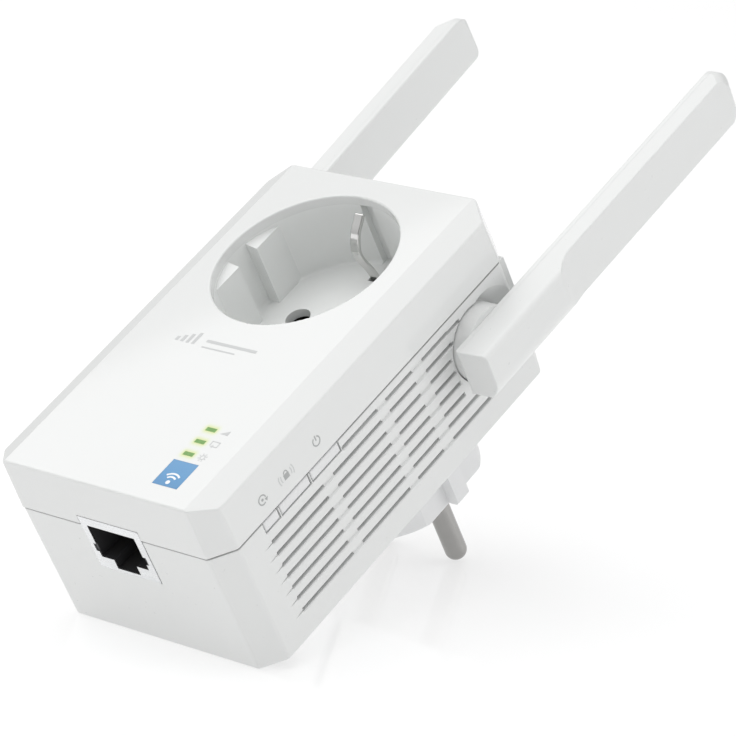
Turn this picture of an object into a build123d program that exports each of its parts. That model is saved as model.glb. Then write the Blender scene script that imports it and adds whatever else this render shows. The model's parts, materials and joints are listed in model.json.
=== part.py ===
from build123d import *
import math
import os

os.makedirs("parts", exist_ok=True)

# Wall-plug wireless range extender with an earthed pass-through socket, two
# hinged antennas, three side push buttons and a network jack in the lower end.
# Frame: origin on the plug's contact face, midway between the two pins.
# +Y points into the wall along the pins, -Y is the front, +Z is up (antennas
# up), +X is the side with the push buttons.  All sizes in millimetres.

# ---------------------------------------------------------------- dimensions
# case
y_front, y_part, y_rear = -59.6, -47.6, -18.0
z_top, z_bot = 27.0, -68.6
case_hw_part, case_hw_rear = 29.45, 29.35
corner_chamfer, corner_soft = 4.5, 1.3
front_draft = 1.9
bevel_x, bevel_w, bevel_d = 24.2, 4.85, 2.05
wall = 2.0
seam = 0.4
zc = (z_top + z_bot) / 2
hh = (z_top - z_bot) / 2

# pass-through socket
sock_x, sock_z = -0.6, 0.95
sock_r, sock_floor, sock_floor_t, cup_r = 20.0, -42.1, 2.0, 21.8
pin_pitch = 19.0
sock_hole_r = 2.75
pad_x, pad_in, pad_out = 16.95, 2.97, 11.0
clip_slot_hw, clip_hw, clip_t, clip_leg, clip_sunk = 1.6, 1.15, 0.9, 15.3, 1.1

# wall plug
boss_r, boss_flat, boss_rib_hw = 18.56, 15.8, 2.0
pin_r, pin_neck_r, pin_len = 2.4, 2.25, 19.0

# side vents (rows in y, slots in z)
vent_rows = [-44.9, -42.0, -39.0, -36.05, -33.15, -30.2, -27.3, -24.2]
vent_w = 0.85
vent_slots = [(-56.5, -39.6), (-36.4, -20.4), (-17.5, -8.75), (-5.3, 1.6)]

# antennas
hinge_y, hinge_z = -36.8, 10.2
barrel_r, axle_r, axle_bore_r = 8.0, 3.0, 3.05
pocket_x, pocket_r, scoop_rise = 27.35, 8.4, 4.7
ant_x0, ant_x1, ant_xp = 32.6, 40.35, 37.5
ant_y0, ant_y1 = -43.4, -31.4
ant_z0, ant_z1 = -0.1, 96.0
ant_tip, ant_tip_rise = 93.1, 1.1
ant_end_rise = 0.75
ant_split, ant_seam = 33.9, 0.03
left_tilt = 3.2

# push buttons on the +X side: (low z, high z)
btn_y0, btn_y1 = -47.1, -44.95
buttons = {"reset": (-56.6, -52.3), "pair": (-51.5, -42.5), "power": (-41.7, -32.8)}
btn_gap = 0.3

# network jack
jack_x0, jack_x1, jack_y0, jack_y1 = -8.8, 7.6, -49.6, -36.16

# boards
main_y0, main_y1 = -51.2, -49.6
pow_y0, pow_y1 = -25.0, -23.4
led_x, led_z = 14.4, (-54.9, -51.3, -47.8)
led_hw, led_hh = 1.25, 0.465
post_xz = [(sx * 23.5, z) for sx in (-1, 1) for z in (22.0, -62.0)]


# ------------------------------------------------------------------- helpers
def box(x0, x1, y0, y1, z0, z1):
    return Pos((x0 + x1) / 2, (y0 + y1) / 2, (z0 + z1) / 2) * Box(
        abs(x1 - x0), abs(y1 - y0), abs(z1 - z0)
    )


def cyl_y(r, y0, y1, x=0.0, z=0.0):
    return Pos(x, (y0 + y1) / 2, z) * Rot(90, 0, 0) * Cylinder(r, abs(y1 - y0))


def cyl_x(r, x0, x1, y, z):
    return Pos((x0 + x1) / 2, y, z) * Rot(0, 90, 0) * Cylinder(r, abs(x1 - x0))


def cyl_z(r, z0, z1, x, y):
    return Pos(x, y, (z0 + z1) / 2) * Cylinder(r, abs(z1 - z0))


def facing(y):
    return Plane(origin=(0, y, 0), x_dir=(1, 0, 0), z_dir=(0, -1, 0))


def octagon(hw, hgt, ch, soft):
    p = [(hw, hgt - ch), (hw - ch, hgt), (-hw + ch, hgt), (-hw, hgt - ch),
         (-hw, -hgt + ch), (-hw + ch, -hgt), (hw - ch, -hgt), (hw, -hgt + ch)]
    sk = Pos(0, zc) * Polygon(*p, align=None)
    return fillet(sk.vertices(), soft) if soft else sk


def prism_y(sk, y0, y1, taper=0.0):
    """Sketch in x,z drawn on the plane y0 and pushed towards -Y to y1."""
    return extrude(facing(y0) * sk, amount=y0 - y1, taper=taper)


def beyond(point, normal):
    """Everything on the outer side of a plane."""
    return Plane(origin=point, z_dir=normal) * Pos(0, 0, 100) * Box(400, 400, 200)


def drafted(hw, hgt, ch, y0, y1, draft):
    """Octagonal block whose eight sides lean in towards -Y."""
    a = math.radians(draft)
    q = math.sqrt(0.5)
    b = Pos(0, (y0 + y1) / 2, zc) * Box(2 * hw, abs(y1 - y0), 2 * hgt)
    for nx, nz in ((1, 0), (-1, 0), (0, 1), (0, -1)):
        b -= beyond((nx * hw, y0, zc + nz * hgt), (nx * math.cos(a), -math.sin(a), nz * math.cos(a)))
    for nx in (-1, 1):
        for nz in (-1, 1):
            b -= beyond((nx * (hw - ch / 2), y0, zc + nz * (hgt - ch / 2)), (nx * q * math.cos(a), -math.sin(a), nz * q * math.cos(a)))
    return b


def poly_yz(pts, x0, x1):
    face = make_face(Polyline(*[(x0, y, z) for y, z in pts], close=True))
    return extrude(face, amount=x1 - x0, dir=(1, 0, 0))


def poly_xz(pts, y0, y1):
    face = make_face(Polyline(*[(x, y0, z) for x, z in pts], close=True))
    return extrude(face, amount=y1 - y0, dir=(0, 1, 0))


def poly_xy(pts, z0, z1):
    face = make_face(Polyline(*[(x, y, z0) for x, y in pts], close=True))
    return extrude(face, amount=z1 - z0, dir=(0, 0, 1))


def soften(shape, edges, r):
    """Round edges one group at a time, keeping only what stays one valid solid."""
    try:
        got = fillet(edges, r)
        if got.is_valid and len(got.solids()) == len(shape.solids()):
            return got
    except Exception:
        pass
    print("kept sharp:", len(edges), r)
    return shape


def group(shapes):
    return Compound(children=[s.solid() if len(s.solids()) == 1 else s for s in shapes])


made = {}


def save(name, shape):
    made[name] = shape
    export_step(shape, "parts/" + name + ".step")


# --------------------------------------------------------------- front cover
outer = drafted(case_hw_part, hh + 0.15, corner_chamfer, y_part, y_front, front_draft)
for s in (-1, 1):
    outer -= beyond((s * bevel_x, y_front, 0), (s * bevel_d, -bevel_w, 0))
outer = fillet(outer.edges().filter_by(lambda e: y_front + 3 < e.center().Y < y_part - 1 and e.length > 11), 0.8)
outer = fillet(outer.edges().filter_by(lambda e: y_front + 3 < e.center().Y < y_part - 1 and abs(e.center().X) > 28.0 and e.length < 11), corner_soft)
outer = soften(outer, outer.edges().filter_by(lambda e: e.center().Y < y_front + bevel_d + 0.8 and e.bounding_box().size.Y < 2.6), 0.45)
hollow = drafted(case_hw_part - wall, hh + 0.15 - wall, corner_chamfer, y_part + 0.5, y_front + 2.2, front_draft)
for s in (-1, 1):
    hollow -= beyond((s * (bevel_x - 0.6), y_front + 2.2, 0), (s * bevel_d, -bevel_w, 0))
cover = outer - hollow
for x, z in post_xz:
    cover += cyl_y(3.8, y_front + 1.6, y_part + 0.1, x, z) & drafted(case_hw_part - 0.9, hh - 0.8, corner_chamfer, y_part + 0.2, y_front + 1.6, front_draft)
for x in (-20.5, 20.5):
    cover += cyl_y(2.4, y_front + 1.6, main_y0, x, -26.0)
for x, z in post_xz:
    cover -= cyl_y(1.35, y_front + 3.6, -46.0, x, z)
for x in (-20.5, 20.5):
    cover -= cyl_y(0.9, y_front + 3.2, main_y0 + 1, x, -26.0)
hole = cyl_y(sock_r, y_front - 1, y_front + 4, sock_x, sock_z)
cover -= hole
rim = cover.edges().filter_by(GeomType.CIRCLE).filter_by(lambda e: abs(e.radius - sock_r) < 0.01 and e.center().Y < y_front + 0.2)
cover = soften(cover, rim, 0.4)
for z in led_z:
    cover -= box(led_x - led_hw - 0.03, led_x + led_hw + 0.03, y_front - 1, y_front + 4, z - led_hh - 0.03, z + led_hh + 0.03)
cover -= box(12.3, 18.85, y_front - 1, y_front + 0.35, -63.9, -56.95)
cover -= box(jack_x0 - 0.1, jack_x1 + 0.1, jack_y0 - 0.15, y_part + 1, z_bot - 2, z_bot + 3.5)
save("front_cover", cover)

# --------------------------------------------------------------- rear housing
y_rim = y_part + seam
body = prism_y(octagon(case_hw_rear, hh, corner_chamfer, corner_soft), y_rear, y_rim)
body = soften(body, body.edges().filter_by(lambda e: abs(e.center().Y - y_rear) < 0.01), 0.7)
body = soften(body, body.edges().filter_by(lambda e: abs(e.center().Y - y_rim) < 0.01), 0.25)
body -= prism_y(octagon(case_hw_rear - wall, hh - wall, corner_chamfer, 1.0), y_rear - 2.2, y_rim - 1)
tongue = prism_y(octagon(case_hw_rear - wall + 0.3, hh - wall + 0.3, corner_chamfer, 1.0), y_rim + 3.0, y_rim)
tongue += prism_y(octagon(case_hw_rear - wall - 0.15, hh - wall - 0.15, corner_chamfer, 1.0), y_rim, y_part - 1.6)
tongue -= prism_y(octagon(case_hw_rear - wall - 1.3, hh - wall - 1.3, corner_chamfer, 0.8), y_rim + 3.5, y_part - 3)
tongue -= box(20, 32, y_part - 3, y_rim + 3.1, -58.2, -31.4)
for x, z in post_xz:
    tongue -= cyl_y(4.1, y_part - 3, y_rim, x, z)
tongue -= box(jack_x0 - 0.6, jack_x1 + 0.6, y_part - 3, y_rim + 3.1, z_bot - 1, z_bot + 6)
body += tongue
for s in (-1, 1):
    body += box(s * (pocket_x - wall), s * (pocket_x + 0.5), -46.2, -27.0, 0.3, 25.4)
for x, z in post_xz:
    body += cyl_y(3.8, y_rear - 1.0, y_rim, x, z) & prism_y(octagon(case_hw_rear - 1.0, hh - 1.0, corner_chamfer, 0), y_rear, y_rim - 2)
for x, z in post_xz:
    body -= cyl_y(3.1, y_rear + 1, -41.0, x, z)
    body -= cyl_y(1.7, -40, y_rim - 2, x, z)
for x, z in ((-21.0, -27.0), (21.0, -27.0)):
    body += cyl_y(2.6, y_rear - 1.0, pow_y1, x, z)
    body -= cyl_y(0.9, y_rear - 2.4, pow_y1 - 1, x, z)
body -= cyl_y(boss_r + 0.12, y_rear + 1, y_rear - 3, 0, 0)
# hinge pockets and axle bores
for s in (-1, 1):
    body -= cyl_x(pocket_r, s * pocket_x, s * 31, hinge_y, hinge_z)
    # scoop that lets the hinge show: the pocket circle slides upwards as it comes out
    mouth = Plane(origin=(s * pocket_x, hinge_y, hinge_z), x_dir=(0, 1, 0), z_dir=(1, 0, 0)) * Circle(pocket_r)
    out = case_hw_rear - pocket_x
    n = math.hypot(out, scoop_rise)
    body -= extrude(mouth, amount=2 * n, dir=(s * out / n, 0, scoop_rise / n))
    body -= cyl_x(axle_bore_r, s * (pocket_x - 3), s * (pocket_x + 1), hinge_y, hinge_z)
# vents
cuts = []
for i, y in enumerate(vent_rows):
    for s in (-1, 1):
        slots = list(vent_slots)
        if i == 0:
            slots = [(-32.4, -20.4), (-17.5, -8.75), (-5.3, 7.2)] if s > 0 else [(-56.5, -39.6), (-36.4, -20.4), (-17.5, -8.75), (-5.3, 3.6)]
        if i == 1:
            slots[-1] = (-5.3, 3.7)
        if i >= 6:
            slots[-1] = (-5.3, 20.5)
        for z0, z1 in slots:
            cuts.append(box(s * 27.0, s * 31, y - vent_w / 2, y + vent_w / 2, z0, z1))
        lo = -33.0 if (i == 0 and s > 0) else -57.4
        hi = min(slots[-1][1], 3.0) if i < 2 else slots[-1][1]
        # shallow groove joining the slots, with a fading tail at its lower end
        cuts.append(poly_xy([(s * (case_hw_rear - 0.45), y - 0.22), (s * (case_hw_rear - 0.45), y + 0.22), (s * 31, y + 1.9), (s * 31, y - 1.9)], lo + 0.9, hi))
        if lo < -50:
            cuts.append(poly_xz([(s * (case_hw_rear - 0.4), lo + 1.4), (s * (case_hw_rear + 0.01), lo - 1.6), (s * 31, lo - 1.6), (s * 31, lo + 1.4)], y - 0.2, y + 0.2))
body = body.cut(*[c.solid() for c in cuts])
# button openings and jack notch
for z0, z1 in buttons.values():
    body -= box(24, 32, y_part - 2, btn_y1 + btn_gap, z0 - btn_gap, z1 + btn_gap)
body -= box(jack_x0 - 0.1, jack_x1 + 0.1, y_part - 3, jack_y1 + 0.15, z_bot - 2, z_bot + 3.5)
save("rear_housing", body)

# -------------------------------------------------------------- socket insert
cup = cyl_y(cup_r, y_front + 2.2, sock_floor + sock_floor_t, 0, sock_z)
well = cyl_y(sock_r, y_front, sock_floor, 0, sock_z)
well = soften(well, well.edges().filter_by(lambda e: abs(e.center().Y - sock_floor) < 0.01), 0.8)
cup -= well
ring = cyl_y(sock_r + 0.6, y_front + 2.2, sock_floor + 0.5, 0, sock_z)
for s in (-1, 1):
    for t in (-1, 1):
        pad = box(s * pad_x, s * 21.5, y_front + 2.4, sock_floor + 0.5, sock_z + t * pad_in, sock_z + t * pad_out)
        pad -= poly_xy([(s * (pad_x - 0.1), y_front + 2.0), (s * (pad_x - 0.1), y_front + 3.2), (s * 20.0, y_front + 2.4), (s * 20.7, y_front + 2.0)], -15, 15)
        cup += pad & ring
    cup += box(-3.2, 3.2, -47.5, sock_floor + sock_floor_t, sock_z + s * 20.9, sock_z + s * 22.2)
for s in (-1, 1):
    cup -= cyl_y(sock_hole_r, sock_floor - 1, sock_floor + 3, s * pin_pitch / 2, sock_z)
    cup -= box(-1.55, 1.55, sock_floor - 1, sock_floor + 3, sock_z + s * (clip_leg - 1.1), sock_z + s * (clip_leg + 0.6))
    # slot in the wall that the earth clip springs back into
    cup -= box(-clip_slot_hw, clip_slot_hw, y_front + 2.0, sock_floor + 0.02, sock_z + s * 19.0, sock_z + s * 21.4)
save("socket_insert", Pos(sock_x, 0, 0) * cup)


def clip(s):
    """Bent spring strip: bowed in towards the middle, hooked outwards at its free end."""
    sunk = 0.0 if s > 0 else clip_sunk
    mid = [(-34.0, clip_leg), (-38.0, clip_leg), (-40.5, clip_leg), (-42.6 + sunk, clip_leg - 0.15), (-45.7 + sunk, 14.4), (-48.85 + sunk, 13.3),
           (-51.05 + sunk, 13.15), (-53.3 + sunk, 14.05), (-54.85 + sunk, 15.15), (-56.1 + sunk, 16.6), (-56.9 + sunk, 17.5)]
    t = clip_t / 2
    left, right = [], []
    for i, p in enumerate(mid):
        a = mid[max(i - 1, 0)]
        b = mid[min(i + 1, len(mid) - 1)]
        dy, dz = b[0] - a[0], b[1] - a[1]
        n = math.hypot(dy, dz)
        left.append((0, p[0] - dz / n * t, sock_z + s * (p[1] + dy / n * t)))
        right.append((0, p[0] + dz / n * t, sock_z + s * (p[1] - dy / n * t)))
    dy, dz = mid[-1][0] - mid[-2][0], mid[-1][1] - mid[-2][1]
    n = math.hypot(dy, dz)
    tip = (0, mid[-1][0] + dy / n * t, sock_z + s * (mid[-1][1] + dz / n * t))
    edges = [Line(left[0], left[2]), Spline(*left[2:], tangents=[(0, -1, 0), (0, dy / n, s * dz / n)]), ThreePointArc(left[-1], tip, right[-1]),
             Spline(*right[:1:-1], tangents=[(0, -dy / n, -s * dz / n), (0, 1, 0)]), Line(right[2], right[0]), Line(right[0], left[0])]
    c = Pos(-clip_hw, 0, 0) * extrude(make_face(edges), amount=2 * clip_hw, dir=(1, 0, 0))
    return soften(c, c.edges().filter_by(lambda e: abs(abs(e.center().X) - clip_hw) < 0.01 and e.center().Y < -38), 0.25)


save("earth_clip_upper", Pos(sock_x, 0, 0) * clip(1))
save("earth_clip_lower", Pos(sock_x, 0, 0) * clip(-1))

# ------------------------------------------------- socket contacts and buses
for name, s in (("left", -1), ("right", 1)):
    cx = sock_x + s * pin_pitch / 2
    sleeve = cyl_y(3.3, sock_floor + sock_floor_t, -25.0, cx, sock_z)
    sleeve -= cyl_y(sock_hole_r, sock_floor + 1, -26.0, cx, sock_z)
    sleeve -= box(cx - 0.4, cx + 0.4, sock_floor + 1, -29.0, sock_z - 4, sock_z + 4)
    save("contact_sleeve_" + name, sleeve)
    bar = box(s * 9.5 - 3.4, s * 9.5 + 3.4, -25.0, -24.2, -9.0, 5.0)
    bar -= cyl_y(2.0, -26, -23, s * 9.5, 0)
    bar += box(s * 9.5 - 2.0, s * 9.5 + 2.0, -25.0, -24.2, -21.6, -9.0)
    save("bus_bar_" + name, bar)

# ---------------------------------------------------------------- wall plug
boss = cyl_y(boss_r, 0, y_rear - 2.2, 0, 0)
boss = soften(boss, boss.edges().filter_by(lambda e: abs(e.center().Y) < 0.01), 0.8)
for s in (-1, 1):
    for t in (-1, 1):
        boss -= box(s * boss_flat, s * 22, 1, y_rear + 0.6, t * boss_rib_hw, t * 12)
    boss -= box(-3.0, 3.0, 1, -15.0, s * 15.9, s * 20)
boss += cyl_y(20.4, y_rear - 2.2, y_rear - 4.2, 0, 0)
for s in (-1, 1):
    boss -= cyl_y(3.3, 1, -1.0, s * 9.5, 0)
    boss -= cyl_y(pin_neck_r, 0, -3.0, s * 9.5, 0)
    boss -= cyl_y(2.0, -2, y_rear - 5, s * 9.5, 0)
    boss -= box(-1.5, 1.5, -14, y_rear - 5, s * 15.9, s * 16.7)
save("plug_body", boss)

for name, s in (("left", -1), ("right", 1)):
    pin = cyl_y(pin_r, 0, pin_len - pin_r, s * 9.5, 0) + Pos(s * 9.5, pin_len - pin_r, 0) * Sphere(pin_r)
    pin += cyl_y(pin_neck_r, -3.0, 0.1, s * 9.5, 0)
    pin += cyl_y(2.0, -3.0, -24.2, s * 9.5, 0)
    pin += cyl_y(3.0, -22.2, -24.2, s * 9.5, 0)
    pin += cyl_y(2.0, -24.2, -25.0, s * 9.5, 0)
    save("plug_pin_" + name, pin)

for name, s in (("upper", 1), ("lower", -1)):
    strip = box(-2.6, 2.6, -15.0, -0.6, s * 15.9, s * 16.7)
    strip += box(-1.5, 1.5, y_rear - 4.2, -14.0, s * 15.9, s * 16.7)
    save("plug_earth_contact_" + name, strip)

strap = box(-2.4, 2.4, -23.0, -22.2, -17.5, 18.5)
for s in (-1, 1):
    z0 = sock_z + s * (clip_leg + clip_t / 2)
    strap += box(sock_x - 1.3, sock_x + 1.3, -39.0, -22.6, z0, z0 + s * 0.8)
save("earth_strap", strap)

# --------------------------------------------------------------- power supply
board = box(-25.6, 25.6, pow_y0, pow_y1, -65.4, -22.4)
for x, z in post_xz[1::2]:
    board -= cyl_y(4.3, pow_y0 - 1, pow_y1 + 1, x, z)
for x in (-21.0, 21.0):
    board -= cyl_y(1.2, pow_y0 - 1, pow_y1 + 1, x, -27.0)
save("power_board", board)

core = box(-9.5, 9.5, pow_y0 - 14.0, pow_y0 - 0.6, -47.5, -31.5)
core -= box(-6.5, -3.6, pow_y0 - 12.4, pow_y0 - 2.2, -50, -29)
core -= box(3.6, 6.5, pow_y0 - 12.4, pow_y0 - 2.2, -50, -29)
save("transformer_core", core)
coil = box(-6.4, -3.7, pow_y0 - 12.3, pow_y0 - 2.3, -48.6, -30.4) + box(3.7, 6.4, pow_y0 - 12.3, pow_y0 - 2.3, -48.6, -30.4)
for z0, z1 in ((-48.6, -47.6), (-31.4, -30.4)):
    coil += box(-6.4, 6.4, pow_y0 - 12.3, pow_y0 - 2.3, z0, z1)
coil += box(-5.0, 5.0, pow_y0 - 2.4, pow_y0, -48.6, -47.6) + box(-5.0, 5.0, pow_y0 - 2.4, pow_y0, -31.4, -30.4)
save("transformer_winding", coil)
caps = [cyl_y(4.6, pow_y0, pow_y0 - 15.5, -18.0, -52.5), cyl_y(4.6, pow_y0, pow_y0 - 15.5, -18.0, -41.5)]
caps = [soften(c, c.edges().filter_by(lambda e: e.center().Y < pow_y0 - 15), 0.6) for c in caps]
save("mains_capacitors", group(caps))
cap = cyl_y(3.6, pow_y0, pow_y0 - 11.5, 15.0, -54.5)
save("output_capacitor", soften(cap, cap.edges().filter_by(lambda e: e.center().Y < pow_y0 - 11), 0.5))
save("fuse", cyl_x(2.0, 5.5, 16.5, pow_y0 - 2.0, -27.2))
save("suppression_capacitor", box(-15.5, -2.0, pow_y0 - 9.0, pow_y0, -29.5, -24.5))
choke = cyl_y(4.4, pow_y0, pow_y0 - 8.0, 16.5, -40.0)
choke -= cyl_y(2.2, pow_y0 + 1, pow_y0 - 9.0, 16.5, -40.0)
save("inductor", choke)
save("rectifier_and_driver", group([box(-7.0, 1.0, pow_y0 - 3.4, pow_y0, -56.0, -50.0), box(3.5, 8.6, pow_y0 - 1.7, pow_y0, -62.0, -57.0)]))

# ----------------------------------------------------------------- main board
mb = box(-25.2, 24.6, main_y0, main_y1, -65.4, -22.6)
for x, z in post_xz[1::2]:
    mb -= cyl_y(4.4, main_y0 - 1, main_y1 + 1, x, z)
for x in (-20.5, 20.5):
    mb -= cyl_y(1.1, main_y0 - 1, main_y1 + 1, x, -26.0)
save("main_board", mb)
can = box(-13.0, 9.5, main_y1, main_y1 + 3.2, -47.0, -26.0)
can = soften(can, can.edges().filter_by(Axis.Y), 0.8)
can -= box(-12.7, 9.2, main_y1 - 1, main_y1 + 2.9, -46.7, -26.3)
save("shield_can", can)
save("radio_chip", box(-6.0, 2.0, main_y1, main_y1 + 1.0, -41.0, -33.0))
save("memory_chips", group([box(-22.8, -15.6, main_y1, main_y1 + 1.2, -40.0, -34.0), box(-22.8, -16.0, main_y1, main_y1 + 1.2, -50.0, -44.8)]))
save("board_to_board_header", box(-18.6, -9.6, main_y1, pow_y0, -60.8, -58.4))
leds = [box(led_x - 0.8, led_x + 0.8, main_y0 - 0.8, main_y0, z - 0.4, z + 0.4) for z in led_z]
save("status_leds", group(leds))
pipe = box(led_x - 2.6, led_x + 2.6, main_y0 - 2.2, main_y0 - 1.0, -56.6, -46.1)
for z in led_z:
    pipe += box(led_x - led_hw, led_x + led_hw, y_front, main_y0 - 1.0, z - led_hh, z + led_hh)
save("light_pipe", pipe)
save("status_label", box(12.35, 18.8, y_front + 0.0, y_front + 0.35, -63.85, -57.0))

# ---------------------------------------------------------------- network jack
jz0, jz1 = z_bot - 0.1, -50.5
ox0, ox1, oy0, oy1 = -7.1, 5.7, -47.5, -39.2
nx0, nx1, ny1 = -3.8, 2.4, -36.9
shell = box(jack_x0, jack_x1, jack_y0, jack_y1, jz0, jz1)
shell = soften(shell, shell.edges().filter_by(Axis.Z), 0.35)
shell -= box(jack_x0 + 0.3, jack_x1 - 0.3, jack_y0 + 0.3, jack_y1 - 0.3, jz0 + 0.3, jz1 - 0.3)
mouth = box(ox0, ox1, oy0, oy1, jz0 - 1, jz0 + 1) + box(nx0, nx1, oy1 - 0.5, ny1, jz0 - 1, jz0 + 1)
mouth += box(ox0 - 0.75, ox1 + 0.75, -42.6, -40.6, jz0 - 1, jz0 + 1)
shell -= mouth
save("jack_shell", shell)
ins = box(jack_x0 + 0.3, jack_x1 - 0.3, jack_y0 + 0.3, jack_y1 - 0.3, jz0 + 0.3, jz1 - 0.3)
cav = box(ox0, ox1, oy0, oy1, jz0, jz0 + 13.2) + box(nx0, nx1, oy1 - 0.5, ny1, jz0, jz0 + 9.5)
ins -= cav
cz = [-0.7 + (i - 3.5) * 1.02 for i in range(8)]
for x in cz:
    ins -= box(x - 0.25, x + 0.25, oy0 - 1.3, oy0 + 0.2, jz0 + 1.2, jz0 + 14.0)
save("jack_insert", ins)
wires = []
for x in cz:
    wires.append(poly_yz([(oy0 - 1.3, jz0 + 1.4), (oy0 - 0.9, jz0 + 1.4), (oy0 - 0.5, jz0 + 2.2), (oy0 + 2.2, jz0 + 9.4), (oy0 + 1.85, jz0 + 9.6), (oy0 - 0.9, jz0 + 2.6), (oy0 - 0.9, jz0 + 13.6), (oy0 - 1.3, jz0 + 13.6)], x - 0.2, x + 0.2))
save("jack_contacts", group(wires))

# -------------------------------------------------------- switches and buttons
for name, (z0, z1) in buttons.items():
    m = (z0 + z1) / 2
    travel = 1.2 if name == "power" else 0.4
    cap = box(26.9, case_hw_rear, btn_y0, btn_y1, z0, z1)
    cap = soften(cap, cap.edges().filter_by(lambda e: abs(e.center().X - case_hw_rear) < 0.01), 0.3)
    cap += box(25.9, 26.9, btn_y0, btn_y1 + 0.65, z0 + 0.05, z1 - 0.05)
    cap += box(25.9, 26.9, btn_y1 + 0.1, btn_y1 + 0.65, z0 - 0.3, z1 + 0.3) if name != "pair" else box(25.9, 26.9, btn_y1 + 0.1, btn_y1 + 0.65, z0, z1)
    cap += cyl_x(0.9, 23.3 + travel + 0.3, 26.0, -46.3, m)
    save(name + "_button", cap)
    sw = box(17.2, 23.0, main_y1, -44.2, m - (1.9 if name == "reset" else 3.0), m + (1.9 if name == "reset" else 3.0))
    sw += cyl_x(1.1, 22.9, 23.3, -46.3, m)
    save(name + "_switch", sw)

# -------------------------------------------------------------------- fasteners
scr = []
for x, z in post_xz:
    b = cyl_y(2.7, -39.2, -41.0, x, z) + cyl_y(1.3, -41.0, -54.5, x, z)
    b -= box(x - 1.6, x + 1.6, -38, -40.0, z - 0.3, z + 0.3) + box(x - 0.3, x + 0.3, -38, -40.0, z - 1.6, z + 1.6)
    scr.append(b)
save("case_screws", group(scr))
scr = []
for x in (-20.5, 20.5):
    b = cyl_y(1.9, main_y1, main_y1 + 1.3, x, -26.0) + cyl_y(0.85, main_y1, main_y0 - 4.0, x, -26.0)
    b -= box(x - 1.1, x + 1.1, main_y1 + 0.7, main_y1 + 2, -26.2, -25.8)
    scr.append(b)
for x in (-21.0, 21.0):
    b = cyl_y(1.9, pow_y0, pow_y0 - 1.3, x, -27.0) + cyl_y(0.85, pow_y0, y_rear - 2.6, x, -27.0)
    b -= box(x - 1.1, x + 1.1, pow_y0 - 0.7, pow_y0 - 2, -27.2, -26.8)
    scr.append(b)
save("board_screws", group(scr))


# --------------------------------------------------------------------- antennas
def pick(sk, x, y):
    return sk.vertices().sort_by_distance((x, y, 0))[0]


def antenna_blank():
    sk = Polygon((ant_x0, ant_y0), (ant_x1, ant_y0 + 0.35), (ant_x1, ant_y1), (ant_x0, ant_y1), align=None)
    sk = fillet(pick(sk, ant_x1, ant_y1), 5.0)
    sk = fillet(pick(sk, ant_x1, ant_y0 + 0.35), 1.4)
    sk = fillet(pick(sk, ant_x0, ant_y1), 1.1)
    sk = fillet(pick(sk, ant_x0, ant_y0), 0.5)
    bar = Pos(0, 0, ant_z0) * extrude(sk, amount=ant_z1 - ant_z0)
    side = Polygon((ant_y0 - 0.01, ant_z0), (ant_y1 + 0.01, ant_z0), (ant_y1 + 0.01, ant_z1), (ant_y0 - 0.01, ant_z1), align=None)
    side = fillet(pick(side, ant_y0, ant_z1), 4.6)
    side = fillet(pick(side, ant_y1, ant_z1), 4.8)
    side = fillet(pick(side, ant_y0, ant_z0), 0.7)
    side = fillet(pick(side, ant_y1, ant_z0), 2.2)
    bar &= extrude(Plane(origin=(ant_x0 - 1, 0, 0), x_dir=(0, 1, 0), z_dir=(1, 0, 0)) * side, amount=12)
    # round off the inner edges of both ends
    for z, r, d in ((ant_z1, 2.4, -1), (ant_z0, 1.4, 1)):
        wedge = box(ant_x0 - 1, ant_x0 + r, -60, -10, z, z + d * r) - Pos(ant_x0 + r, 0, z + d * r) * Rot(90, 0, 0) * Cylinder(r, 120)
        wedge -= box(ant_x0 + r, ant_x0 + 9, -60, -10, z - 9, z + 9)
        bar -= Pos(0, 0, 0) * wedge
    # the tip leans too: its outline climbs from the outer face towards the inner one
    top = Polygon((ant_y0 - 0.01, 60), (ant_y1 + 0.01, 60), (ant_y1 + 0.01, ant_tip), (ant_y0 - 0.01, ant_tip), align=None)
    top = fillet(pick(top, ant_y0, ant_tip), 4.8)
    top = fillet(pick(top, ant_y1, ant_tip), 3.8)
    over = Polygon((-60, 86), (-10, 86), (-10, 120), (-60, 120), align=None) - top
    shift = 2.0
    over = Plane(origin=(ant_xp + shift, 0, -shift * ant_tip_rise), x_dir=(0, 1, 0), z_dir=(1, 0, 0)) * over
    bar -= extrude(over, amount=9 * (1 + ant_tip_rise ** 2) ** 0.5, dir=(-1, 0, ant_tip_rise))
    # the lower end leans: its outer side sits higher than its inner side
    lean = beyond((ant_x0, 0, ant_z0), (ant_end_rise, 0, ant_x0 - ant_x1))
    bar -= lean
    slope = ant_end_rise / (ant_x1 - ant_x0)
    bar = soften(bar, bar.edges().filter_by(lambda e: max(abs(p.Z - ant_z0 - slope * (p.X - ant_x0)) for p in (e @ 0, e @ 0.5, e @ 1)) < 0.02), 0.3)
    # scooped outer face that thins the paddle above the hinge block
    curve = Spline((ant_x1 + 0.05, 0, 26.2), (39.7, 0, 28.0), (38.65, 0, 29.9), (37.85, 0, 32.2), (ant_xp, 0, 35.0), tangents=[(-0.25, 0, 1), (0, 0, 1)])
    rest = Polyline((ant_xp, 0, 35.0), (ant_xp, 0, 105), (48, 0, 105), (48, 0, 26.2), (ant_x1 + 0.05, 0, 26.2))
    scoop = Pos(0, -60, 0) * extrude(make_face(Curve() + [curve, rest]), amount=60, dir=(0, 1, 0))
    bar -= scoop
    bar = soften(bar, bar.edges().filter_by(lambda e: e.center().X > ant_xp - 0.6 and e.center().Z > 26.5 and e.length > 1.0 and abs(e.center().Z - 35) > 0.5), 0.25)
    return bar


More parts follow.
